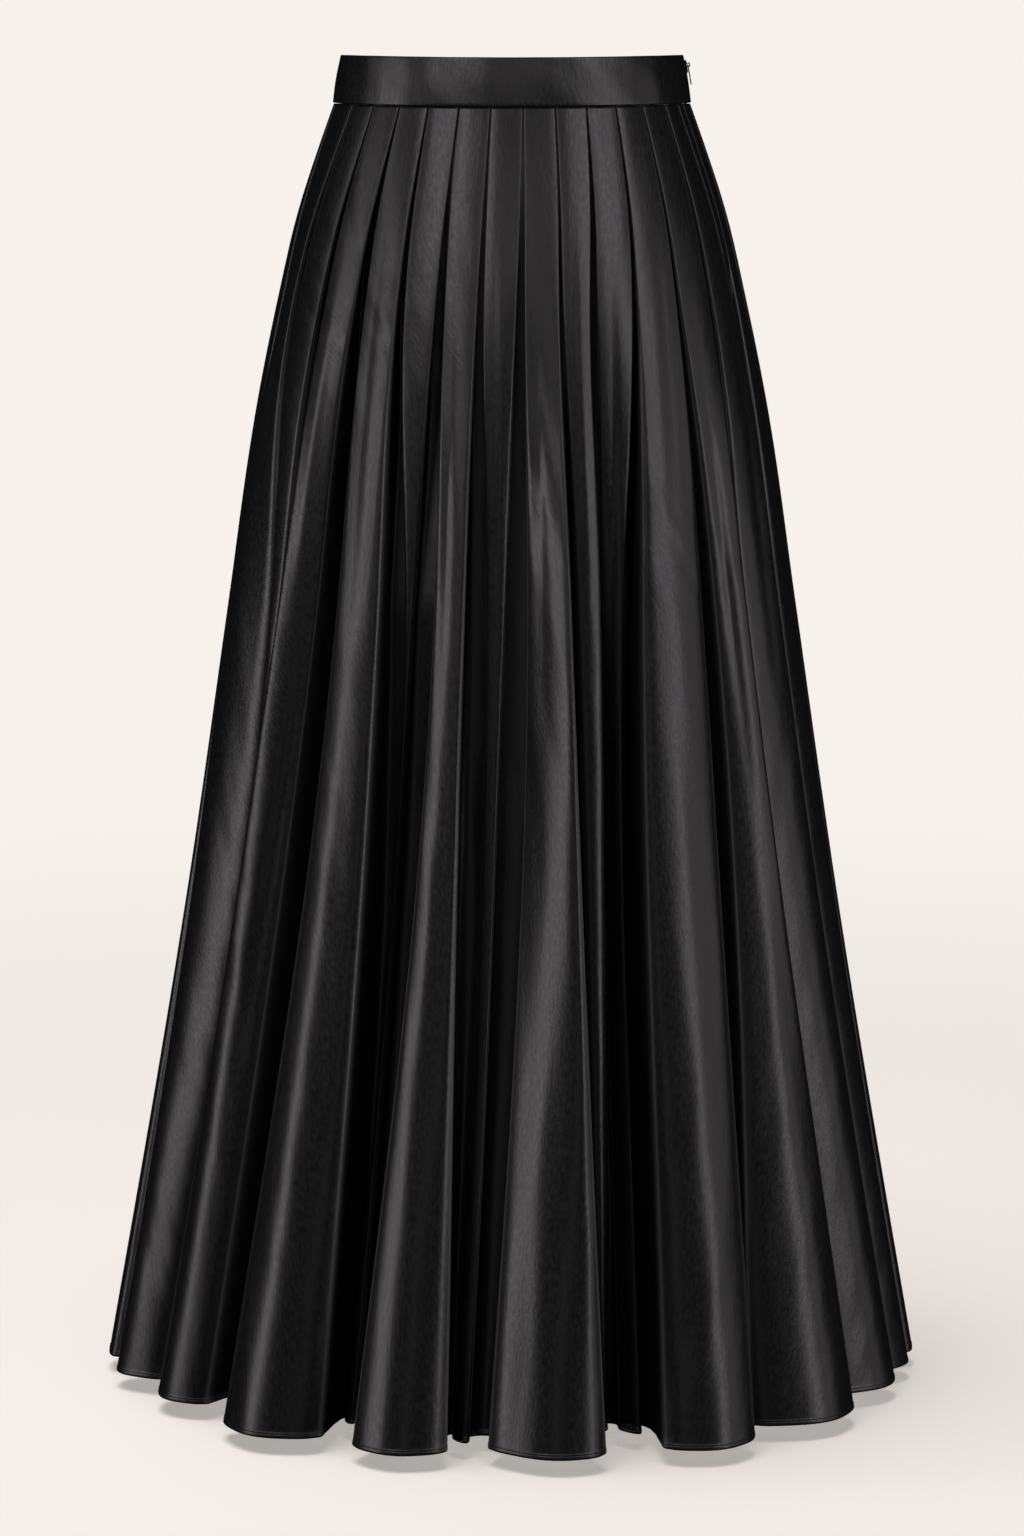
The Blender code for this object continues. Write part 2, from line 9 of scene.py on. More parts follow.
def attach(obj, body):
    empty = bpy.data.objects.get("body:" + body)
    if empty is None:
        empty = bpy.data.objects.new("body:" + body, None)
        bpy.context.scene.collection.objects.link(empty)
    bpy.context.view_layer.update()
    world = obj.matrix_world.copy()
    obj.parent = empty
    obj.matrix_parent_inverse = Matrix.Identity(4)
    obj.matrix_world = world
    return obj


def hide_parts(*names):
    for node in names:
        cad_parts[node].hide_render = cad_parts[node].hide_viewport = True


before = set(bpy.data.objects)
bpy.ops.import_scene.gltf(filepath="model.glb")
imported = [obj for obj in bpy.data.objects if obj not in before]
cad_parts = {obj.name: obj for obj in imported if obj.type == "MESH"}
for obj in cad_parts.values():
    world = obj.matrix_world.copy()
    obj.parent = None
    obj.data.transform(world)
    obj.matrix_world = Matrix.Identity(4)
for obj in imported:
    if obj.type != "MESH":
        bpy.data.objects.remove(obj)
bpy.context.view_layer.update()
print("frame loaded")


class Signal:
    # A socket that works in Python expressions; make() adds any other node.
    def __init__(self, tree, socket=None):
        self.tree = tree
        self.socket = socket

    def make(self, kind, settings=None, values=None, out=0):
        node = self.tree.nodes.new(kind)
        for key, value in (settings or {}).items():
            setattr(node, key, value)
        for key, value in (values or {}).items():
            if isinstance(value, Signal):
                self.tree.links.new(value.socket, node.inputs[key])
            else:
                node.inputs[key].default_value = value
        return Signal(self.tree, node.outputs[out])

    def sums(self, operation, *others):
        return self.make("ShaderNodeMath", {"operation": operation}, dict(enumerate((self, *others))))

    def __add__(self, other):
        return self.sums("ADD", other)

    def __radd__(self, other):
        return self.sums("ADD", other)

    def __sub__(self, other):
        return self.sums("SUBTRACT", other)

    def __rsub__(self, other):
        return self.make("ShaderNodeMath", {"operation": "SUBTRACT"}, {0: other, 1: self})

    def __mul__(self, other):
        return self.sums("MULTIPLY", other)

    def __rmul__(self, other):
        return self.sums("MULTIPLY", other)

    def between(self, low, high):
        return self.make("ShaderNodeMapRange", {"interpolation_type": "SMOOTHSTEP"},
                         {"Value": self, "From Min": low, "From Max": high})


def mixColour(graph, share, dark, light):
    return graph.make("ShaderNodeMix", {"data_type": "RGBA"},
                      {"Factor": share, "A": dark, "B": light}, out=2)


def newMaterial(name, constants):
    material = bpy.data.materials.new(name)
    material.use_nodes = True
    shader = material.node_tree.nodes["Principled BSDF"]
    for key, value in constants.items():
        shader.inputs[key].default_value = value
    return material, Signal(material.node_tree), shader


def feed(shader, socket, signal):
    signal.tree.links.new(signal.socket, shader.inputs[socket])


satinFinish = {
    "dark": (0.0055, 0.0050, 0.0056, 1.0),
    "light": (0.0105, 0.0098, 0.0106, 1.0),
    "tintRange": (0.30, 0.75),
    "roughness": 0.35,
    "roughnessSpread": 0.22,
    "grainSize": 0.0021,
    "grainStretch": 2.6,
    "grainDetail": 2.0,
    "grainDepth": 0.000110,
    "rippleSize": 0.030,
    "rippleStretch": 7.0,
    "rippleDetail": 1.0,
    "rippleDepth": 0.0016,
    # painted highlight: the lighter grey laid on the pressed creases, and how sharply it falls off beside
    # them
    "creaseHighlightColour": (0.075, 0.075, 0.075, 1.0),
    "creaseHighlightSharpness": 5.0,
}


def stretchedNoise(graph, place, size, stretch, detail):
    # Noise whose spots are longer down the cloth than across it.
    scale = 1.0 / size
    spot = graph.make("ShaderNodeMapping", {"vector_type": "POINT"},
                      {"Vector": place, "Scale": (scale, scale / stretch, 1.0)})
    return graph.make("ShaderNodeTexNoise", {}, {"Vector": spot, "Scale": 1.0, "Detail": detail})


def bump(graph, height, strength, depth, under=None):
    values = {"Strength": strength, "Distance": depth, "Height": height}
    if under is not None:
        values["Normal"] = under
    return graph.make("ShaderNodeBump", {}, values)


def makeSatin(name, paintsCreaseHighlight):
    finish = satinFinish
    material, graph, shader = newMaterial(name, {"IOR": 1.5, "Specular IOR Level": 0.5})
    weave = graph.make("ShaderNodeUVMap", {"uv_map": "cut"})
    grain = stretchedNoise(graph, weave, finish["grainSize"], finish["grainStretch"], finish["grainDetail"])
    ripple = stretchedNoise(graph, weave, finish["rippleSize"], finish["rippleStretch"],
                            finish["rippleDetail"])
    colour = mixColour(graph, grain.between(*finish["tintRange"]), finish["dark"], finish["light"])
    # Painted highlight: along pressed creases the base colour is lifted to a lighter grey, standing in for
    # the light their sharp edges catch.
    if paintsCreaseHighlight:
        crease = graph.make("ShaderNodeAttribute", {"attribute_name": "crease"}, out=2)
        edge = crease.sums("POWER", finish["creaseHighlightSharpness"])
        colour = mixColour(graph, edge, colour, finish["creaseHighlightColour"])
    feed(shader, "Base Color", colour)
    feed(shader, "Roughness", finish["roughness"] + (grain - 0.5) * finish["roughnessSpread"])
    soft = bump(graph, ripple, 1.0, finish["rippleDepth"])
    feed(shader, "Normal", bump(graph, grain, 1.0, finish["grainDepth"], soft))
    return material


tapeFinish = {
    "dark": (0.006, 0.006, 0.006, 1.0),
    "light": (0.022, 0.022, 0.023, 1.0),
    "tintLeast": 0.1,
    "tintSpread": 0.8,
    "weave": {"Scale": 420.0, "Distortion": 0.6, "Detail": 1.0, "Detail Scale": 3.0},
    "roughness": 0.78,
    "roughnessSpread": 0.12,
    "weaveStrength": 0.8,
    "weaveDepth": 0.0001,
}


def makeTape():
    finish = tapeFinish
    material, graph, shader = newMaterial("blackZipTape", {"Specular IOR Level": 0.3})
    place = graph.make("ShaderNodeTexCoord", out=3)
    weave = graph.make("ShaderNodeTexWave", {"wave_type": "BANDS", "bands_direction": "Z"},
                       {"Vector": place, **finish["weave"]})
    tint = weave * finish["tintSpread"] + finish["tintLeast"]
    feed(shader, "Base Color", mixColour(graph, tint, finish["dark"], finish["light"]))
    feed(shader, "Roughness", finish["roughness"] + weave * finish["roughnessSpread"])
    feed(shader, "Normal", bump(graph, weave, finish["weaveStrength"], finish["weaveDepth"]))
    return material


metalFinish = {
    "enamel": (0.012, 0.012, 0.013, 1.0),
    "worn": (0.06, 0.06, 0.064, 1.0),
    "metallic": 0.55,
    "scuff": {"Scale": 900.0, "Detail": 3.0},
    "wearRange": (0.52, 0.75),
    "roughness": 0.24,
    "wornRoughness": 0.2,
    "scuffStrength": 0.4,
    "scuffDepth": 0.00005,
}


def makeMetal():
    finish = metalFinish
    material, graph, shader = newMaterial("blackEnamelMetal", {"Metallic": finish["metallic"], "IOR": 1.5})
    place = graph.make("ShaderNodeTexCoord", out=3)
    scuff = graph.make("ShaderNodeTexNoise", {}, {"Vector": place, **finish["scuff"]})
    wear = scuff.between(*finish["wearRange"])
    feed(shader, "Base Color", mixColour(graph, wear, finish["enamel"], finish["worn"]))
    feed(shader, "Roughness", finish["roughness"] + wear * finish["wornRoughness"])
    feed(shader, "Normal", bump(graph, scuff, finish["scuffStrength"], finish["scuffDepth"]))
    return material


threadFinish = {
    "dark": (0.006, 0.006, 0.006, 1.0),
    "light": (0.028, 0.027, 0.029, 1.0),
    "twist": {"Scale": 2500.0, "Detail": 1.0},
    "roughness": 0.5,
    "roughnessSpread": 0.15,
}


def makeThread():
    finish = threadFinish
    material, graph, shader = newMaterial("blackThread", {"Specular IOR Level": 0.4})
    place = graph.make("ShaderNodeTexCoord", out=3)
    twist = graph.make("ShaderNodeTexNoise", {}, {"Vector": place, **finish["twist"]})
    feed(shader, "Base Color", mixColour(graph, twist, finish["dark"], finish["light"]))
    feed(shader, "Roughness", finish["roughness"] + twist * finish["roughnessSpread"])
    return material


satin = makeSatin("blackSatin", True)
bandSatin = makeSatin("blackBandSatin", False)
tapeCloth = makeTape()
enamel = makeMetal()
thread = makeThread()
print("materials made")

# The waist seam lies this far below the band's middle, and dips a little at the centre front and back.
waistSeam = {"below": 0.0175, "centreDip": 0.0018}

skirtShape = {
    "hemDrop": 0.9445,
    "layerPitch": 0.0016,
    "pleatPitch": 0.0229,
    "evenPleats": 12,
    "sideGapAngle": 81.4,
    "frontPleatShift": -0.0036,
    "seamGap": 0.00004,
    "seamFaceShare": 0.7,
    "sideFoldRoom": 0.0125,
    "halfFootSpacing": 0.00115,
    "footRollShare": 0.36,
    "leastOverhangShare": 0.30,
    "narrowDepthShare": 0.50,
    "pastFaceShare": 0.24,
    "latePleatLength": 0.140,
    "latePleatSpread": (0.0045, 0.0032, 0.0019, 0.0006),
    "pressedSoftness": 0.002,
    "sectionColumns": ("drop", "halfWidth", "frontDepth", "backDepth", "foldDepth", "fullWidth", "overhang",
                       "roll", "bulge", "rollDrop", "crown", "footRoll", "creaseSoft", "rollSoft",
                       "valleySoft"),
    # sizes at nine drops below the waist seam
    "sections": (
        (0.0000, 0.1295, 0.0973, 0.0973, 0.0032, 0.0200, 0.0095,
         0.000, 0.000, 0.0016, 0.0000, 0.0000, 0.0004, 0.0004, 0.0004),
        (0.0300, 0.1402, 0.1068, 0.1090, 0.0036, 0.0200, 0.0095,
         0.000, 0.003, 0.0016, 0.0001, 0.0002, 0.0004, 0.0004, 0.0004),
        (0.0750, 0.1550, 0.1193, 0.1245, 0.0075, 0.0200, 0.0092,
         0.003, 0.010, 0.0016, 0.0003, 0.0005, 0.0004, 0.0005, 0.0005),
        (0.1425, 0.1712, 0.1352, 0.1440, 0.0190, 0.0200, 0.0080,
         0.012, 0.022, 0.0018, 0.0006, 0.0012, 0.0005, 0.0008, 0.0008),
        (0.2160, 0.1862, 0.1490, 0.1580, 0.0310, 0.0205, 0.0065,
         0.040, 0.040, 0.0023, 0.0012, 0.0025, 0.0006, 0.0020, 0.0014),
        (0.3640, 0.2087, 0.1715, 0.1775, 0.0460, 0.0240, 0.0055,
         0.080, 0.085, 0.0034, 0.0025, 0.0050, 0.0008, 0.0080, 0.0035),
        (0.5890, 0.2425, 0.2005, 0.2040, 0.0620, 0.0320, 0.0075,
         0.115, 0.150, 0.0065, 0.0045, 0.0085, 0.0012, 0.0170, 0.0120),
        (0.8200, 0.2812, 0.2327, 0.2350, 0.0710, 0.0400, 0.0095,
         0.120, 0.220, 0.0110, 0.0065, 0.0125, 0.0018, 0.0260, 0.0250),
        (0.9445, 0.3032, 0.2510, 0.2530, 0.0750, 0.0450, 0.0100,
         0.120, 0.250, 0.0140, 0.0075, 0.0140, 0.0020, 0.0280, 0.0300)),
    "faceShares": {"crease": 0.83, "roll": 0.38},
    "foldStations": (0.0, 0.138, 0.350, 0.9445),
    # edge angles from the middle in degrees at hip, half height and hem, set-backs and turns in metres
    "foldColumns": ("hipLeft", "hipRight", "midLeft", "midRight", "hemLeft", "hemRight",
                    "midBack", "hemBack", "begins", "hipTilt", "midTilt", "hemTilt", "round"),
    "frontFolds": (
        (-76.6, -68.0, -86.0, -61.6, -88.3, -75.6, 0.000, 0.0060, 0.0, 0, -0.010, -0.018, 1.6),
        (-64.8, -54.0, -59.6, -55.4, -73.8, -72.4, 0.004, 0.046, 0.0, 0, 0, 0, 1),
        (-51.6, -41.6, -53.8, -45.2, -71.5, -56.3, 0.003, 0.018, 0.0, 0, -0.012, -0.004, 1.1),
        (-38.4, -28.4, -38.1, -27.4, -47.5, -28.9, 0.000, 0.002, 0.0, 0.005, 0.004, -0.002, 1),
        (-26.5, -18.7, -23.4, -21.4, -29.6, -27.2, 0.018, 0.062, 0.0, 0, 0, 0.004, 1),
        (-16.2, -8.4, -15.7, -9.3, -23.1, -9.1, 0.000, -0.002, 0.0, 0, 0.006, 0.000, 1),
        (-6.7, 1.0, -5.4, -1.4, -9.3, -6.5, 0.017, 0.038, 0.0, 0, 0, 0.008, 1),
        (3.1, 11.3, 3.3, 11.2, -3.5, 13.0, 0.000, -0.004, 0.0, 0, 0.027, 0.018, 1),
        (12.4, 18.9, 13.5, 18.6, 14.6, 15.9, 0.010, 0.060, 0.0, 0, 0, 0, 1),
        (21.0, 30.1, 20.6, 25.6, 17.8, 20.8, 0.028, 0.050, 0.0, 0, 0.009, 0.012, 1),
        (31.7, 43.6, 27.2, 42.1, 21.4, 35.9, 0.000, -0.009, 0.0, 0, -0.001, 0.002, 1),
        (45.0, 56.0, 47.2, 55.0, 38.6, 60.6, 0.003, 0.003, 0.0, 0, 0.008, 0.014, 1),
        (57.8, 70.3, 57.0, 70.7, 64.0, 80.5, 0.003, 0.012, 0.0, 0, 0.008, 0.02, 1),
        (71.4, 81.6, 71.9, 87.4, 83.4, 92.6, 0.000, 0.004, 0.10, 0, 0.002, 0.01, 1)),
    "backFolds": (
        (-78.2, -67.5, -74.6, -62.5, -73.2, -59.8, 0.001, 0.005, 0.0, 0, 0.004, 0.006, 1.2),
        (-65.8, -54.5, -60.2, -54.4, -56.8, -53.8, 0.006, 0.034, 0.0, 0, 0, 0, 1),
        (-52.5, -42.0, -51.6, -41.4, -51.2, -37.6, 0.000, 0.004, 0.0, 0.003, -0.004, -0.008, 1),
        (-39.5, -29.5, -38.0, -31.2, -34.4, -31.2, 0.007, 0.030, 0.0, 0, 0, 0, 1),
        (-27.5, -18.0, -27.4, -16.8, -28.6, -14.8, 0.000, -0.002, 0.0, 0, 0.004, 0.006, 1),
        (-15.9, -8.5, -13.2, -9.8, -12.2, -10.0, 0.012, 0.043, 0.0, 0, 0, 0.006, 1),
        (-6.3, 1.2, -6.4, 1.4, -7.4, 5.2, 0.000, 0.000, 0.0, 0.002, 0.004, -0.004, 1.1),
        (3.3, 11.0, 5.0, 9.6, 7.8, 10.8, 0.008, 0.034, 0.0, 0, 0, 0, 1),
        (13.0, 21.0, 13.2, 23.0, 13.8, 27.4, 0.000, 0.002, 0.0, 0, -0.003, -0.006, 1),
        (23.3, 31.5, 26.4, 30.6, 30.6, 33.8, 0.010, 0.040, 0.0, 0, 0.002, 0.004, 1),
        (33.8, 44.0, 34.0, 45.2, 37.4, 51.4, 0.000, 0.001, 0.0, -0.003, 0.004, 0.008, 1.1),
        (46.4, 57.2, 48.8, 54.2, 55.0, 57.8, 0.008, 0.036, 0.0, 0, 0, -0.004, 1),
        (59.5, 77.8, 58.0, 74.6, 61.2, 74.2, 0.001, 0.006, 0.0, 0, -0.003, -0.008, 1.1)),
    "frontLateAngles": (69.5,),
    "backLateAngles": (),
    "zipSeam": (90.0, 92.0, 96.0, 99.0),
    "plainSeam": (-90.0, -91.0, -96.0, -97.5),
    "zipSideFrontEdge": (8.6, 9.0, 7.2, 5.2),
    "zipSideBackEdge": (8.6, 8.5, 8.0, 6.0),
    "plainSideFrontEdge": (8.6, 12.6, 8.4, 7.0),
    "plainSideBackEdge": (8.6, 9.2, 8.0, 6.2),
}


def smooth(stations, values, at):
    # Value at a station on the smooth curve through the given ones.
    stations = np.asarray(stations, dtype=float)
    values = np.asarray(values, dtype=float)
    slopes = np.gradient(values, stations, axis=0)
    k = min(max(int(np.searchsorted(stations, at)) - 1, 0), len(stations) - 2)
    span = stations[k + 1] - stations[k]
    t = (at - stations[k]) / span
    start = (1 + 2 * t) * (1 - t) ** 2 * values[k] + t * (1 - t) ** 2 * span * slopes[k]
    end = t * t * (3 - 2 * t) * values[k + 1] + t * t * (t - 1) * span * slopes[k + 1]
    return start + end


class Ring:
    # The skirt's section at one drop below the waist seam.
    def __init__(self, drop):
        self.drop = drop
        rows = np.array(skirtShape["sections"])
        self.sizes = dict(zip(skirtShape["sectionColumns"], smooth(rows[:, 0], rows, drop)))

    def depth(self, turn):
        return self.sizes["frontDepth" if math.cos(turn) > 0 else "backDepth"]

    def speed(self, angle):
        turn = math.radians(angle)
        return math.hypot(self.sizes["halfWidth"] * math.cos(turn), self.depth(turn) * math.sin(turn))

    def point(self, angle, along, out):
        turn = math.radians(angle)
        depth = self.depth(turn)
        width = self.sizes["halfWidth"]
        turn += along / math.hypot(width * math.cos(turn), depth * math.sin(turn))
        normal = np.array((depth * math.sin(turn), width * math.cos(turn)))
        normal /= np.linalg.norm(normal)
        dip = waistSeam["centreDip"] * math.cos(turn) ** 2 * (1 - self.drop / skirtShape["hemDrop"])
        return np.array((width * math.sin(turn) + out * normal[0],
                         -depth * math.cos(turn) - out * normal[1],
                         -waistSeam["below"] - self.drop - dip))


def pleatAngles(shift, lateAngles):
    waist = Ring(0.0)
    turns = np.linspace(-90.0, 90.0, 721)
    steps = np.array([waist.speed(turn) for turn in turns]) * math.radians(turns[1] - turns[0])
    arc = np.cumsum(steps)
    arc -= arc[len(arc) // 2]
    count = skirtShape["evenPleats"]
    places = (np.arange(count) - (count - 1) / 2) * skirtShape["pleatPitch"] + shift
    side = skirtShape["sideGapAngle"]
    return sorted((-side, *np.interp(places, arc, turns), *lateAngles, side))


def halfLayout(folds, gaps, turned, firstSeam, firstEdge, lastSeam, lastEdge):
    # Edge angles and set-backs, waist to hem, of every fold of one half.
    waist = Ring(0.0)
    edgeShift = [math.degrees(skirtShape["layerPitch"] / 2 / waist.speed(gap)) for gap in gaps]
    layout = []
    for number, row in enumerate(folds):
        fold = dict(zip(skirtShape["foldColumns"], row))
        left = (gaps[number] + edgeShift[number],
                fold["hipLeft"], fold["midLeft"], fold["hemLeft"])
        right = (gaps[number + 1] - edgeShift[number + 1],
                 fold["hipRight"], fold["midRight"], fold["hemRight"])
        layout.append({"left": np.array(left) + turned, "right": np.array(right) + turned,
                       "back": (0.0, 0.0, fold["midBack"], fold["hemBack"]),
                       "tilt": (0.0, fold["hipTilt"], fold["midTilt"], fold["hemTilt"]),
                       "round": fold["round"], "begins": fold["begins"]})
    waistOnly = np.array((edgeShift[0], 0.0, 0.0, 0.0))
    flush = {"back": (0.0, 0.0, 0.0, 0.0), "tilt": (0.0, 0.0, 0.0, 0.0), "round": 1.0, "begins": 0.0}
    first = {"left": firstSeam, "right": firstSeam + firstEdge - waistOnly, **flush}
    last = {"left": lastSeam - lastEdge + waistOnly, "right": lastSeam, **flush}
    return [first, *layout, last]


def foldAt(ring, fold, isSide):
    stations = skirtShape["foldStations"]
    left = smooth(stations, fold["left"], ring.drop)
    right = smooth(stations, fold["right"], ring.drop)
    width = math.radians(right - left) * ring.speed((left + right) / 2)
    room = width - skirtShape["sideFoldRoom"] if isSide else width / 2 - skirtShape["halfFootSpacing"]
    return {"left": left, "right": right, "back": smooth(stations, fold["back"], ring.drop),
            "tilt": smooth(stations, fold["tilt"], ring.drop),
            "rise": ring.sizes["bulge"] * fold["round"] * (2 * width if isSide else width),
            "seen": width, "width": 2 * width if isSide else width, "room": room, "begins": fold["begins"]}


def overhangOf(ring, fold):
    fullness = min(max(fold["width"] / ring.sizes["fullWidth"], skirtShape["leastOverhangShare"]), 1.0)
    return min(ring.sizes["overhang"] * fullness, fold["room"])


def foldSide(ring, fold, side, depth, footRoll, growth):
    # Face, crease, foot and valley points of one edge of a fold.
    sizes = ring.sizes
    back = fold["back"] - side * fold["tilt"] / 2
    rise = fold["rise"]
    shares = skirtShape["faceShares"]
    foot = max(sizes["rollDrop"] * (depth - back) / sizes["foldDepth"], skirtShape["layerPitch"])
    overhang = overhangOf(ring, fold)
    folded = ((sizes["roll"] * fold["width"], -back - shares["roll"] * rise),
              (0.0, -back - shares["crease"] * rise - skirtShape["layerPitch"]),
              (overhang, foot - depth), (overhang - footRoll, -depth))
    angle = fold["right"] if side > 0 else fold["left"]
    points = []
    for (inward, out), flatInward in zip(folded, skirtShape["latePleatSpread"]):
        inward = flatInward + (inward - flatInward) * growth
        points.append(ring.point(angle, -side * inward, out * growth))
    return points


def pleatPoints(ring, before, after):
    # Points of the pleat between two folds, from one face to the other.
    sizes = ring.sizes
    fullness = min(min(before["width"], after["width"]) / sizes["fullWidth"], 1.0)
    least = skirtShape["narrowDepthShare"]
    depth = sizes["foldDepth"] * (least + (1 - least) * fullness)
    past = skirtShape["pastFaceShare"] * sizes["foldDepth"]
    depth = max(depth, max(before["back"], after["back"]) + past)
    gap = math.radians(after["left"] - before["right"]) * ring.speed(after["left"])
    bottom = gap + overhangOf(ring, before) + overhangOf(ring, after)
    footRoll = min(sizes["footRoll"] * depth / sizes["foldDepth"], skirtShape["footRollShare"] * bottom)
    growth = 1.0
    if after["begins"] > 0.0:
        share = min(max((ring.drop - after["begins"]) / skirtShape["latePleatLength"], 0.0), 1.0)
        growth = share * share * (3 - 2 * share)
    inwards = foldSide(ring, before, 1, depth, footRoll, growth)
    outwards = foldSide(ring, after, -1, depth, footRoll, growth)
    return inwards + outwards[::-1]


def halfRing(layout, drop):
    # Guide points of one half at a drop, with the kind of each: 0 seam, 1 crease, 2 valley, 3 face, 4 roll.
    ring = Ring(drop)
    last = len(layout) - 1
    folds = [foldAt(ring, fold, k in (0, last)) for k, fold in enumerate(layout)]
    crown = ring.sizes["crown"]
    gap = skirtShape["seamGap"] / 2
    share = skirtShape["seamFaceShare"]
    points = [ring.point(folds[0]["left"], gap, crown),
              ring.point(folds[0]["left"], share * folds[0]["seen"], crown / 2)]
    kinds = [0, 3]
    for before, after in zip(folds[:-1], folds[1:]):
        points += pleatPoints(ring, before, after)
        kinds += [4, 1, 2, 2, 2, 2, 1, 4]
        if after is not folds[-1]:
            rise = (1 - skirtShape["faceShares"]["crease"]) * after["rise"]
            points.append(ring.point((after["left"] + after["right"]) / 2, 0.0, rise - after["back"]))
            kinds.append(3)
    points += [ring.point(folds[-1]["right"], -share * folds[-1]["seen"], crown / 2),
               ring.point(folds[-1]["right"], -gap, crown)]
    kinds += [3, 0]
    return np.array(points), np.array(kinds), ring.sizes


roundingPoints = (0, 5, 2, 7, 5)   # points on the small curve at a seam, crease, valley, face and roll
pointsEachFold = 9                 # guide points from one fold's face to the next
seamStep = 0.25                    # a row's second point, as a share of the way to the next guide point


def roundedRow(points, kinds, sizes):
    # A few points on a small curve at every guide point.
    steps = np.diff(points, axis=0)
    lengths = np.linalg.norm(steps, axis=1)
    ways = steps / lengths[:, None]
    softness = (0.0, sizes["creaseSoft"], sizes["valleySoft"], 1.0, sizes["rollSoft"])
    row = [points[0], points[0] + seamStep * (points[1] - points[0])]
    for k in range(1, len(points) - 1):
        corner = points[k]
        start = corner - min(softness[kinds[k]], 0.5 * lengths[k - 1]) * ways[k - 1]
        end = corner + min(softness[kinds[k]], 0.5 * lengths[k]) * ways[k]
        count = roundingPoints[kinds[k]]
        for step in range(count):
            t = step / (count - 1) if kinds[k] == 1 else (step + 0.5) / count
            row.append((1 - t) ** 2 * start + 2 * t * (1 - t) * corner + t * t * end)
    row += [points[-1] + seamStep * (points[-2] - points[-1]), points[-1]]
    return np.array(row)


def perPoint(kinds, values):
    # Repeats a value of each guide point for all the points of its small curve.
    counts = np.array(roundingPoints)[kinds[1:-1]]
    return np.concatenate(([values[0]] * 2, np.repeat(values[1:-1], counts), [values[-1]] * 2))


def creaseRow(kinds, sizes):
    # How far each point lies on a pressed crease, from 0 to 1.
    rollPressed = max(0.0, 1.0 - sizes["rollSoft"] / skirtShape["pressedSoftness"])
    pressed = np.array((0.0, 1.0, 0.0, 0.0, rollPressed))
    return perPoint(kinds, pressed[kinds])


def outwards(row):
    flow = np.gradient(row, axis=0)
    flow /= np.linalg.norm(flow, axis=1)[:, None]
    return np.stack((flow[:, 1], -flow[:, 0], np.zeros(len(flow))), axis=1)


clothCreases = {
    "edgeFade": 0.15,
    "endSoftness": 1.5,
    # fold from the left, place and lean across its face (-1 to 1), top and foot drop, width share, height
    "front": (
        (1, 0.25, 0.2, 0.10, 0.46, 0.16, -0.0010),
        (3, -0.15, 0.3, 0.08, 0.40, 0.15, 0.0010),
        (3, 0.45, -0.2, 0.30, 0.75, 0.14, -0.0016),
        (4, -0.25, 0.2, 0.06, 0.42, 0.15, -0.0009),
        (4, 0.30, 0.3, 0.34, 0.90, 0.17, -0.0012),
        (6, -0.30, 0.3, 0.10, 0.45, 0.14, -0.0009),
        (6, 0.30, -0.1, 0.38, 0.93, 0.18, -0.0012),
        (7, 0.20, 0.3, 0.05, 0.36, 0.16, 0.0009),
        (8, -0.30, 0.2, 0.10, 0.48, 0.14, -0.0010),
        (8, 0.15, 0.1, 0.50, 0.94, 0.18, -0.0012),
        (9, 0.10, -0.3, 0.05, 0.40, 0.16, 0.0009),
        (10, -0.10, 0.3, 0.08, 0.42, 0.14, -0.0010),
        (11, 0.15, -0.3, 0.06, 0.36, 0.14, -0.0009),
        (11, 0.30, 0.2, 0.36, 0.90, 0.17, -0.0014),
        (12, -0.20, 0.4, 0.10, 0.55, 0.14, -0.0012),
        (12, 0.40, 0.2, 0.45, 0.93, 0.17, -0.0012),
        (13, 0.20, -0.2, 0.12, 0.50, 0.15, -0.0012)),
    "back": (
        (1, 0.20, 0.3, 0.10, 0.50, 0.15, -0.0012),
        (3, -0.25, 0.2, 0.10, 0.46, 0.15, 0.0010),
        (3, 0.30, 0.2, 0.42, 0.92, 0.18, -0.0012),
        (5, 0.20, -0.3, 0.08, 0.44, 0.15, -0.0010),
        (5, -0.30, 0.1, 0.46, 0.93, 0.18, -0.0012),
        (7, 0.25, 0.2, 0.12, 0.48, 0.14, -0.0010),
        (7, -0.20, -0.2, 0.46, 0.92, 0.18, -0.0011),
        (9, -0.20, 0.3, 0.08, 0.44, 0.15, 0.0010),
        (9, 0.30, -0.1, 0.44, 0.93, 0.18, -0.0012),
        (11, 0.10, -0.3, 0.10, 0.46, 0.15, -0.0010),
        (11, -0.30, 0.1, 0.42, 0.92, 0.17, -0.0012),
        (13, -0.20, 0.3, 0.12, 0.52, 0.15, -0.0012)),
}

clothShell = {
    "wall": 0.0007,
    "waistRows": (0.0, 0.0015, 0.0040, 0.0080),
    "bodyTop": 0.0135,
    "bodyFoot": 0.0132,
    "bodyRows": 74,
    "hemHeights": (0.0077, 0.0051, 0.0042, 0.0038, 0.0034, 0.0031, 0.0027, 0.0012, 0.0004, 0.0),
    "turnRise": 0.00035,
    # height above the hem's edge, and how far the turned cloth stands out there in parts of turnRise
    "turnProfile": ((0.0, -1.2), (0.0004, 0.2), (0.0012, 0.9), (0.0027, 0.9), (0.0031, 0.1),
                    (0.0034, 0.9), (0.0038, 0.9), (0.0042, 0.1), (0.0051, 0.0)),
    "stitchHeight": 0.0031,
}


def shellDrops():
    # Drops of the shell's rows, closer together at the waist seam and the hem.
    hem = skirtShape["hemDrop"]
    body = np.linspace(clothShell["bodyTop"], hem - clothShell["bodyFoot"], clothShell["bodyRows"])
    return [*clothShell["waistRows"], *body, *(hem - height for height in clothShell["hemHeights"])]


def hemRise(height):
    places, rises = zip(*clothShell["turnProfile"])
    return clothShell["turnRise"] * float(np.interp(height, places, rises))


def arcLengths(row):
    # Distance of every point from the first, along the row.
    return np.concatenate(([0.0], np.cumsum(np.linalg.norm(np.diff(row, axis=0), axis=1))))


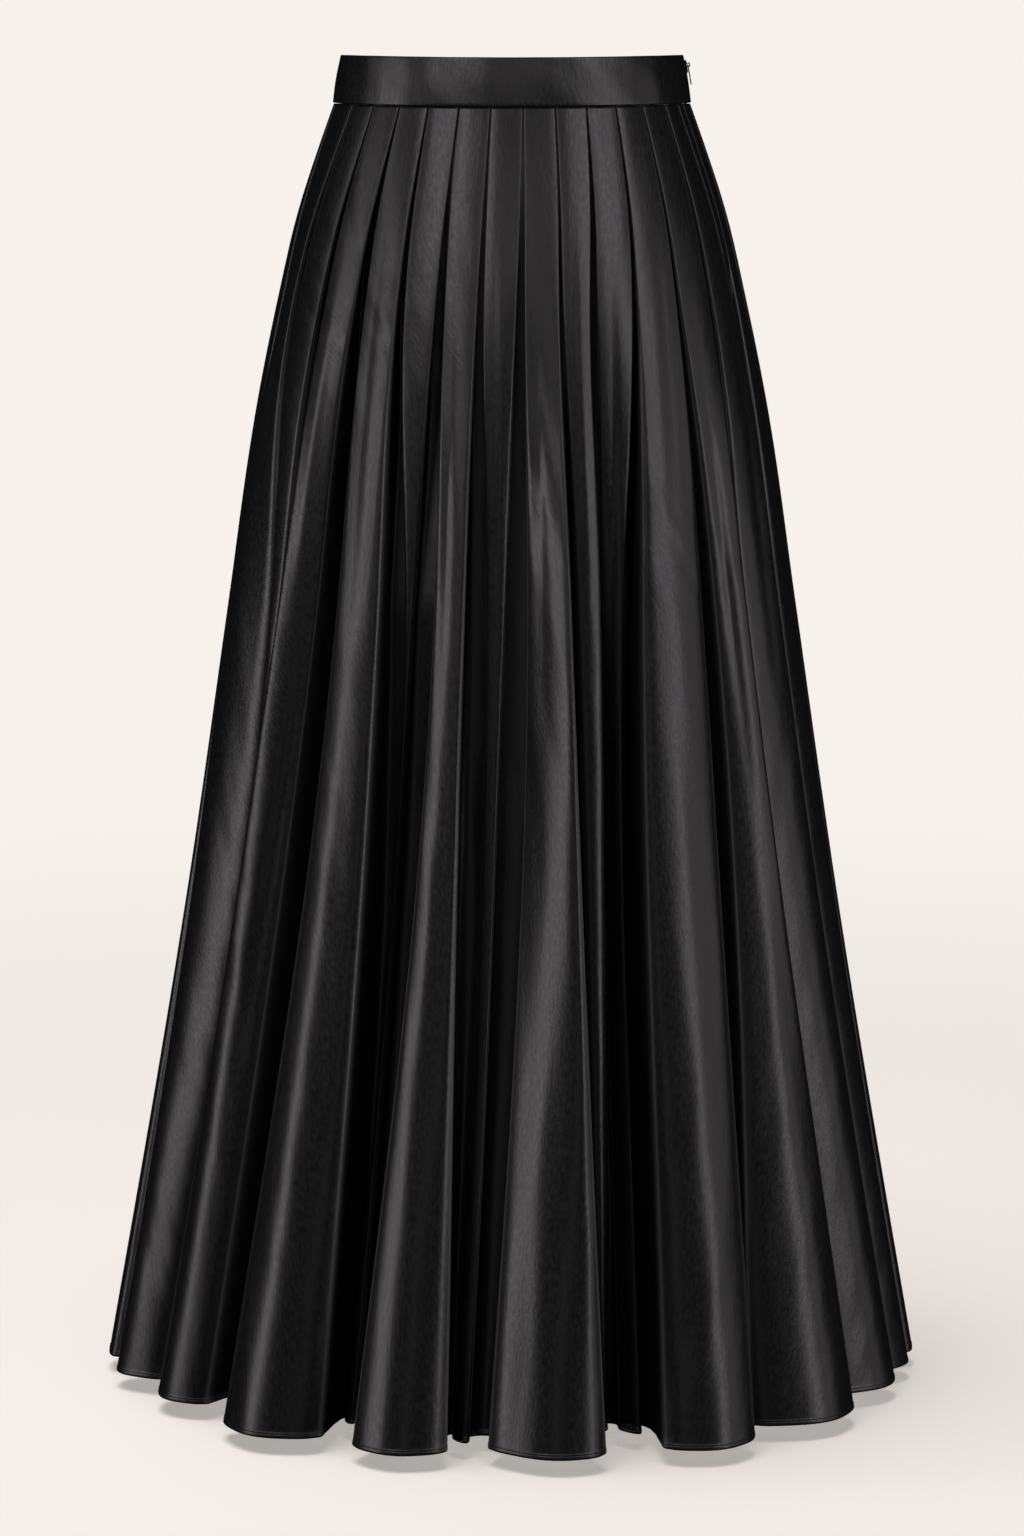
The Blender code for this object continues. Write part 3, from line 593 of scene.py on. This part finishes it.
def setUv(bm, cut):
    layer = bm.loops.layers.uv.new("cut")
    for face in bm.faces:
        for loop in face.loops:
            loop[layer].uv = cut[loop.vert.index]


def gridPiece(name, rowsOfPoints, cut, wall, material, marks=None):
    # A cloth sheet: a flat grid whose vertices are moved to the rows, bottom row first.
    rows = len(rowsOfPoints)
    columns = len(rowsOfPoints[0])
    bm = bmesh.new()
    bmesh.ops.create_grid(bm, x_segments=columns - 1, y_segments=rows - 1, size=0.5)
    bm.verts.ensure_lookup_table()
    bm.verts.index_update()
    places = np.concatenate(rowsOfPoints)
    for vert, place in zip(bm.verts, places):
        vert.co = place
    setUv(bm, cut)
    if marks is not None:
        layer = bm.verts.layers.float.new("crease")
        for vert, mark in zip(bm.verts, marks):
            vert[layer] = mark
    for face in bm.faces:
        face.smooth = True
    mesh = bpy.data.meshes.new(name)
    bm.to_mesh(mesh)
    bm.free()
    mesh.materials.append(material)
    piece = bpy.data.objects.new(name, mesh)
    bpy.context.scene.collection.objects.link(piece)
    solidify = piece.modifiers.new("wall", "SOLIDIFY")
    solidify.thickness = wall
    solidify.offset = 0.0
    solidify.use_even_offset = False
    return piece


def softCreases(row, kinds, drop, creases):
    # Height of the soft ridges and troughs on the folds' faces at a drop.
    arc = arcLengths(row)
    guide = perPoint(kinds, np.arange(len(kinds)))
    rise = np.zeros(len(row))
    for fold, place, lean, top, foot, width, height in creases["rows"]:
        if top < drop < foot:
            share = (drop - top) / (foot - top)
            face = pointsEachFold * fold + 1
            left, right = np.mean(arc[guide == face - 2]), np.mean(arc[guide == face + 2])
            across = right - left
            middle = (left + right) / 2 + (place + lean * (share - 0.5)) * across / 2
            fade = creases["edgeFade"] * across
            inside = np.clip((arc - left) / fade, 0, 1) * np.clip((right - arc) / fade, 0, 1)
            swell = math.sin(math.pi * share) ** creases["endSoftness"]
            rise += height * swell * inside * np.exp(-((arc - middle) / (width * across)) ** 2)
    return rise


def panelPiece(name, layout, side):
    creases = {**clothCreases, "rows": clothCreases[side]}
    rows = []
    cut = []
    marks = []
    for drop in shellDrops()[::-1]:   # from the hem up
        points, kinds, sizes = halfRing(layout, drop)
        row = roundedRow(points, kinds, sizes)
        rise = softCreases(row, kinds, drop, creases) + hemRise(skirtShape["hemDrop"] - drop)
        row = row + rise[:, None] * outwards(row)
        lengths = arcLengths(row)
        rows.append(row)
        cut += [(place - lengths[-1] / 2, -drop) for place in lengths]
        marks.append(creaseRow(kinds, sizes))
    piece = gridPiece(name, rows, cut, clothShell["wall"], satin, np.concatenate(marks))
    print(name, len(rows[0]), "columns", len(rows), "rows")
    return piece, rows


zipSeam = np.array(skirtShape["zipSeam"])
plainSeam = np.array(skirtShape["plainSeam"])
frontGaps = pleatAngles(skirtShape["frontPleatShift"], skirtShape["frontLateAngles"])
backGaps = pleatAngles(0.0, skirtShape["backLateAngles"])
frontLayout = halfLayout(skirtShape["frontFolds"], frontGaps, 0.0,
                         plainSeam, np.array(skirtShape["plainSideFrontEdge"]),
                         zipSeam, np.array(skirtShape["zipSideFrontEdge"]))
backLayout = halfLayout(skirtShape["backFolds"], backGaps, 180.0,
                        zipSeam, np.array(skirtShape["zipSideBackEdge"]),
                        plainSeam + 360.0, np.array(skirtShape["plainSideBackEdge"]))
frontCloth, frontRows = panelPiece("front_panel_cloth", frontLayout, "front")
backCloth, backRows = panelPiece("back_panel_cloth", backLayout, "back")

bandShape = {
    "height": 0.0350,
    "footGap": 0.0007,
    "topHalfWidth": 0.1245,
    "bottomHalfWidth": 0.1306,
    "depthRatio": 0.752,
    "wall": 0.0030,
    "zipSlit": 0.0018,
    "seamGap": 0.00004,
    "columns": 180,
    "rows": 14,
    "edgeRadius": 0.0010,
    "edgeAngle": 50.0,
    "edgeSegments": 3,
    "puff": 0.0005,
    "ease": 0.00025,
    "easeTurns": 0.31,
    "easeSlant": 2.0,
    "cutRadius": 0.115,
}


def bandPoint(angle, along, rise, inset):
    band = bandShape
    share = 0.5 - rise / band["height"]
    width = band["topHalfWidth"] + (band["bottomHalfWidth"] - band["topHalfWidth"]) * share
    depth = width * band["depthRatio"]
    turn = math.radians(angle)
    turn += along / math.hypot(width * math.cos(turn), depth * math.sin(turn))
    normal = np.array((depth * math.sin(turn), width * math.cos(turn)))
    normal /= np.linalg.norm(normal)
    dip = waistSeam["centreDip"] * math.cos(turn) ** 2
    return np.array((width * math.sin(turn) - inset * normal[0],
                     -depth * math.cos(turn) + inset * normal[1],
                     rise - dip))


def bandPiece(name, firstAngle, lastAngle, firstGap, lastGap):
    band = bandShape
    rows = []
    cut = []
    for row in range(band["rows"] + 1):
        share = row / band["rows"]
        rise = -band["height"] / 2 + band["footGap"] + (band["height"] - band["footGap"]) * share
        puff = band["puff"] * math.sin(math.pi * share)
        points = []
        for column in range(band["columns"] + 1):
            angle = firstAngle + (lastAngle - firstAngle) * column / band["columns"]
            along = firstGap if column == 0 else -lastGap if column == band["columns"] else 0.0
            wave = math.sin(angle * band["easeTurns"] + band["easeSlant"] * share)
            ease = band["ease"] * wave * math.sin(math.pi * share)
            points.append(bandPoint(angle, along, rise, band["wall"] / 2 - puff + ease))
            cut.append((math.radians(angle) * band["cutRadius"], rise))
        rows.append(np.array(points))
    piece = gridPiece(name, rows, cut, band["wall"], bandSatin)
    bevel = piece.modifiers.new("soft edges", "BEVEL")
    bevel.width = band["edgeRadius"]
    bevel.segments = band["edgeSegments"]
    bevel.limit_method = "ANGLE"
    bevel.angle_limit = math.radians(band["edgeAngle"])
    return piece


closedGap = bandShape["seamGap"] / 2
openGap = bandShape["zipSlit"] / 2
frontBand = bandPiece("waistband_front_cloth", -90.0, 90.0, closedGap, openGap)
backBand = bandPiece("waistband_back_cloth", 90.0, 270.0, openGap, closedGap)
print("waistband made")

hemStitch = {
    "pitch": 0.0034,
    "length": 0.0025,
    "width": 0.00050,
    "height": 0.00040,
    "endGap": 0.002,
    "lift": 0.00005,
    "lookAhead": 0.0006,
}

zipTeeth = {
    "pitch": 0.00125,
    "across": 0.0025,
    "deep": 0.0009,
    "tall": 0.00085,
    "offset": 0.00030,
    "top": 0.0040,
    "startDrop": 0.004,
    "endDrop": 0.146,
    "behindBand": 0.0008,
    "behindCloth": 0.0015,
    "lookAhead": 0.001,
    "bandSteps": 12,
    "clothSteps": 30,
}


beadShape = {"around": 6, "rows": 4}


def beadPiece(name, places, material):
    # Many small rounded beads in one mesh; each place is a matrix for a bead of unit size.
    bm = bmesh.new()
    bmesh.ops.create_uvsphere(bm, u_segments=beadShape["around"], v_segments=beadShape["rows"], radius=0.5)
    for face in bm.faces:
        face.smooth = True
    bead = bpy.data.meshes.new("bead")
    bm.to_mesh(bead)
    bm.clear()
    for place in places:
        bead.transform(place)
        bm.from_mesh(bead)
        bead.transform(place.inverted())
    mesh = bpy.data.meshes.new(name)
    bm.to_mesh(mesh)
    bm.free()
    bpy.data.meshes.remove(bead)
    mesh.materials.append(material)
    piece = bpy.data.objects.new(name, mesh)
    bpy.context.scene.collection.objects.link(piece)
    return piece


def placed(middle, alongWay, outWay, size):
    alongWay = Vector(alongWay).normalized()
    outWay = Vector(outWay).normalized()
    side = outWay.cross(alongWay).normalized()
    turn = Matrix((alongWay, side, outWay)).transposed().to_4x4()
    return Matrix.Translation(Vector(middle)) @ turn @ Matrix.Diagonal((*size, 1.0))


def pointAlong(row, arc, at):
    return np.array([np.interp(at, arc, row[:, axis]) for axis in range(3)])


def stitchPlaces(rows):
    # Beads along the row of stitches, on the outside of the turned hem.
    stitch = hemStitch
    row = rows[clothShell["hemHeights"][::-1].index(clothShell["stitchHeight"])]
    arc = arcLengths(row)
    ways = outwards(row)
    size = (stitch["length"], stitch["width"], stitch["height"])
    places = []
    for number in range(int((arc[-1] - 2 * stitch["endGap"]) / stitch["pitch"])):
        at = stitch["endGap"] + (number + 0.5) * stitch["pitch"]
        onCloth = pointAlong(row, arc, at)
        out = pointAlong(ways, arc, at)
        middle = onCloth + out * (clothShell["wall"] / 2 + stitch["lift"])
        ahead = pointAlong(row, arc, at + stitch["lookAhead"])
        places.append(placed(middle, ahead - onCloth, out, size))
    return places


def teethPlaces():
    # Beads down the zip, each side's a little to its own side, behind the band and the cloth.
    teeth = zipTeeth
    path = []
    for rise in np.linspace(teeth["top"], -bandShape["height"] / 2, teeth["bandSteps"]):
        path.append(bandPoint(90.0, 0.0, rise, bandShape["wall"] + teeth["behindBand"]))
    for drop in np.linspace(teeth["startDrop"], teeth["endDrop"], teeth["clothSteps"]):
        ring = Ring(drop)
        angle = float(smooth(skirtShape["foldStations"], zipSeam, drop))
        path.append(ring.point(angle, 0.0, ring.sizes["crown"] - teeth["behindCloth"]))
    path = np.array(path)
    arc = arcLengths(path)
    across = Vector((0.0, 1.0, 0.0))
    size = (teeth["across"], teeth["tall"], teeth["deep"])
    places = []
    for number in range(int(arc[-1] / teeth["pitch"])):
        at = (number + 0.5) * teeth["pitch"]
        middle = Vector(pointAlong(path, arc, at))
        ahead = Vector(pointAlong(path, arc, at + teeth["lookAhead"]))
        down = (ahead - middle).normalized()
        side = 1 if number % 2 else -1
        places.append(placed(middle + side * teeth["offset"] * across, across, down.cross(across), size))
    return places


stitches = (beadPiece("hem_stitches_front", stitchPlaces(frontRows), thread),
            beadPiece("hem_stitches_back", stitchPlaces(backRows), thread))
teeth = beadPiece("zip_teeth", teethPlaces(), enamel)
for piece in (*stitches, teeth):
    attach(piece, "skirt")
print("stitches and zip teeth made")

for piece, node in ((frontCloth, "skirt_front"), (backCloth, "skirt_back"),
                    (frontBand, "waistband_front"), (backBand, "waistband_back")):
    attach(piece, "skirt")
    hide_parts(node)

for node, material in (("zip_tape_front", tapeCloth), ("zip_tape_back", tapeCloth), ("zip_slider", enamel),
                       ("zip_pull_tab", enamel), ("zip_bottom_stop", enamel)):
    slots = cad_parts[node].data.materials
    slots.clear()
    slots.append(material)

studio = {
    "floorHeight": -0.9745,
    "floorRings": (0.0, 1.5, 4.0),
    "floorRadius": 7.0,
    "wallRadius": 2.0,
    "wallHeight": 6.0,
    "curveSteps": 16,
    "roundSteps": 96,
    "paper": (0.80, 0.765, 0.72, 1.0),
    "farPaper": (0.0, 0.0, 0.0, 1.0),
    "glowNear": (0.40, 0.38, 0.355, 1.0),
    "glowFar": (0.925, 0.885, 0.83, 1.0),
    "fade": (0.1, 2.8),
    "worldColour": (1.0, 0.985, 0.96, 1.0),
    "worldStrength": 0.004,
    "lightColour": (1.0, 0.950, 0.985),
    "lightDistance": 3.2,
    "lights": (
        # name, azimuth, height of its middle, width, height, watts
        ("leftStrip", -69, -0.45, 1.0, 2.4, 27.0),
        ("leftHighSoftbox", -76, 1.15, 1.1, 0.8, 5.0),
        ("frontStrip", -6, -0.45, 0.6, 2.4, 1.5),
        ("frontHighSoftbox", 6, 1.35, 0.9, 0.9, 4.5),
        ("frontLeftHighSoftbox", -30, 1.60, 1.2, 1.7, 26.0),
        ("frontRightStrip", 53, -0.45, 0.9, 2.4, 21.0),
        ("frontRightHighSoftbox", 43, 1.60, 1.2, 1.7, 23.0),
        ("rightStrip", 80, -0.45, 1.0, 2.4, 7.0),
    ),
    "backLights": (
        ("backLeftStrip", -142, 0.10, 1.0, 3.4, 44.0),
        ("backRightStrip", 148, 0.10, 1.0, 3.4, 44.0),
        ("backSideStrip", 105, -0.30, 1.0, 2.4, 20.0),
        ("backOtherSideStrip", -105, -0.30, 1.0, 2.4, 20.0),
    ),
    "aim": (0.0, 0.0, -0.45),
    "floorLight": {"place": (-0.5, -0.3, 3.0), "aim": (0.0, -0.1, -0.97), "size": 2.4, "watts": 114.0},
}


def makeSweep():
    # A round floor that curves up into a wall on every side.
    radius = studio["wallRadius"]
    floor = studio["floorHeight"]
    profile = [(out, floor) for out in studio["floorRings"]]
    for turn in np.linspace(0.0, math.pi / 2, studio["curveSteps"] + 1):
        profile.append((studio["floorRadius"] + radius * math.sin(turn),
                        floor + radius * (1 - math.cos(turn))))
    profile.append((studio["floorRadius"] + radius, studio["wallHeight"]))
    bm = bmesh.new()
    line = [bm.verts.new((out, 0.0, height)) for out, height in profile]
    edges = [bm.edges.new(pair) for pair in zip(line[:-1], line[1:])]
    bmesh.ops.spin(bm, geom=line + edges, cent=(0, 0, 0), axis=(0, 0, 1), angle=2 * math.pi,
                   steps=studio["roundSteps"], use_merge=True)
    bmesh.ops.remove_doubles(bm, verts=bm.verts, dist=0.0001)
    bmesh.ops.recalc_face_normals(bm, faces=bm.faces)
    bmesh.ops.reverse_faces(bm, faces=bm.faces)
    for face in bm.faces:
        face.smooth = True
    mesh = bpy.data.meshes.new("studio_sweep")
    bm.to_mesh(mesh)
    bm.free()
    sweep = bpy.data.objects.new("studio_sweep", mesh)
    bpy.context.scene.collection.objects.link(sweep)
    material, graph, shader = newMaterial("palePaper", {
        "Roughness": 0.9, "Specular IOR Level": 0.0, "Emission Strength": 1.0})
    place = graph.make("ShaderNodeTexCoord", out=3)
    flat = graph.make("ShaderNodeVectorMath", {"operation": "MULTIPLY"}, {0: place, 1: (1.0, 1.0, 0.0)})
    away = graph.make("ShaderNodeVectorMath", {"operation": "LENGTH"}, {0: flat}, out=1)
    share = away.between(*studio["fade"])
    feed(shader, "Base Color", mixColour(graph, share, studio["paper"], studio["farPaper"]))
    feed(shader, "Emission Color", mixColour(graph, share, studio["glowNear"], studio["glowFar"]))
    mesh.materials.append(material)
    sweep.visible_diffuse = False
    sweep.visible_glossy = False
    sweep.visible_shadow = False
    return sweep


def makeLight(name, place, aim, width, height, watts):
    lamp = bpy.data.lights.new(name, "AREA")
    lamp.shape = "RECTANGLE"
    lamp.size = width
    lamp.size_y = height
    lamp.energy = watts
    lamp.color = studio["lightColour"]
    holder = bpy.data.objects.new(name, lamp)
    holder.location = place
    holder.rotation_euler = (Vector(aim) - Vector(place)).to_track_quat("-Z", "Y").to_euler()
    holder.visible_camera = False
    bpy.context.scene.collection.objects.link(holder)
    return holder


sweep = makeSweep()
clothOnly = bpy.data.collections.new("clothOnly")   # the studio lights fall on the skirt, not on the paper
backOnly = bpy.data.collections.new("backOnly")     # those behind it fall on its back alone
for piece in [thing for thing in bpy.context.scene.objects if thing.type == "MESH" and thing != sweep]:
    clothOnly.objects.link(piece)
for piece in (backCloth, backBand, stitches[1], teeth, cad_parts["zip_tape_back"]):
    backOnly.objects.link(piece)
for name, azimuth, rise, width, height, watts in (*studio["lights"], *studio["backLights"]):
    turn = math.radians(azimuth)
    away = studio["lightDistance"]
    lamp = makeLight(name, (away * math.sin(turn), -away * math.cos(turn), rise), studio["aim"],
                     width, height, watts)
    lamp.light_linking.receiver_collection = backOnly if abs(azimuth) > 90 else clothOnly
lampAbove = studio["floorLight"]
floorLamp = makeLight("floorSoftbox", lampAbove["place"], lampAbove["aim"],
                      lampAbove["size"], lampAbove["size"], lampAbove["watts"])
floorOnly = bpy.data.collections.new("floorOnly")   # this lamp lights the paper, not the cloth
floorOnly.objects.link(sweep)
floorLamp.light_linking.receiver_collection = floorOnly

world = bpy.data.worlds.new("studio")
world.use_nodes = True
background = world.node_tree.nodes["Background"]
background.inputs["Color"].default_value = studio["worldColour"]
background.inputs["Strength"].default_value = studio["worldStrength"]
bpy.context.scene.world = world
bpy.context.scene.view_settings.view_transform = "Standard"

photoCamera = {
    "lens": 108.28,
    "sensor": 36.0,
    "reach": 50.0,
    "place": (0.0, -3.4, 0.0125),
    "downTilt": 8.688,
}
lens = bpy.data.cameras.new("photoCamera")
lens.lens = photoCamera["lens"]
lens.sensor_width = photoCamera["sensor"]
lens.clip_end = photoCamera["reach"]
camera = bpy.data.objects.new("photoCamera", lens)
camera.location = photoCamera["place"]
camera.rotation_euler = (math.radians(90.0 - photoCamera["downTilt"]), 0.0, 0.0)
bpy.context.scene.collection.objects.link(camera)
bpy.context.scene.camera = camera
print("studio made")
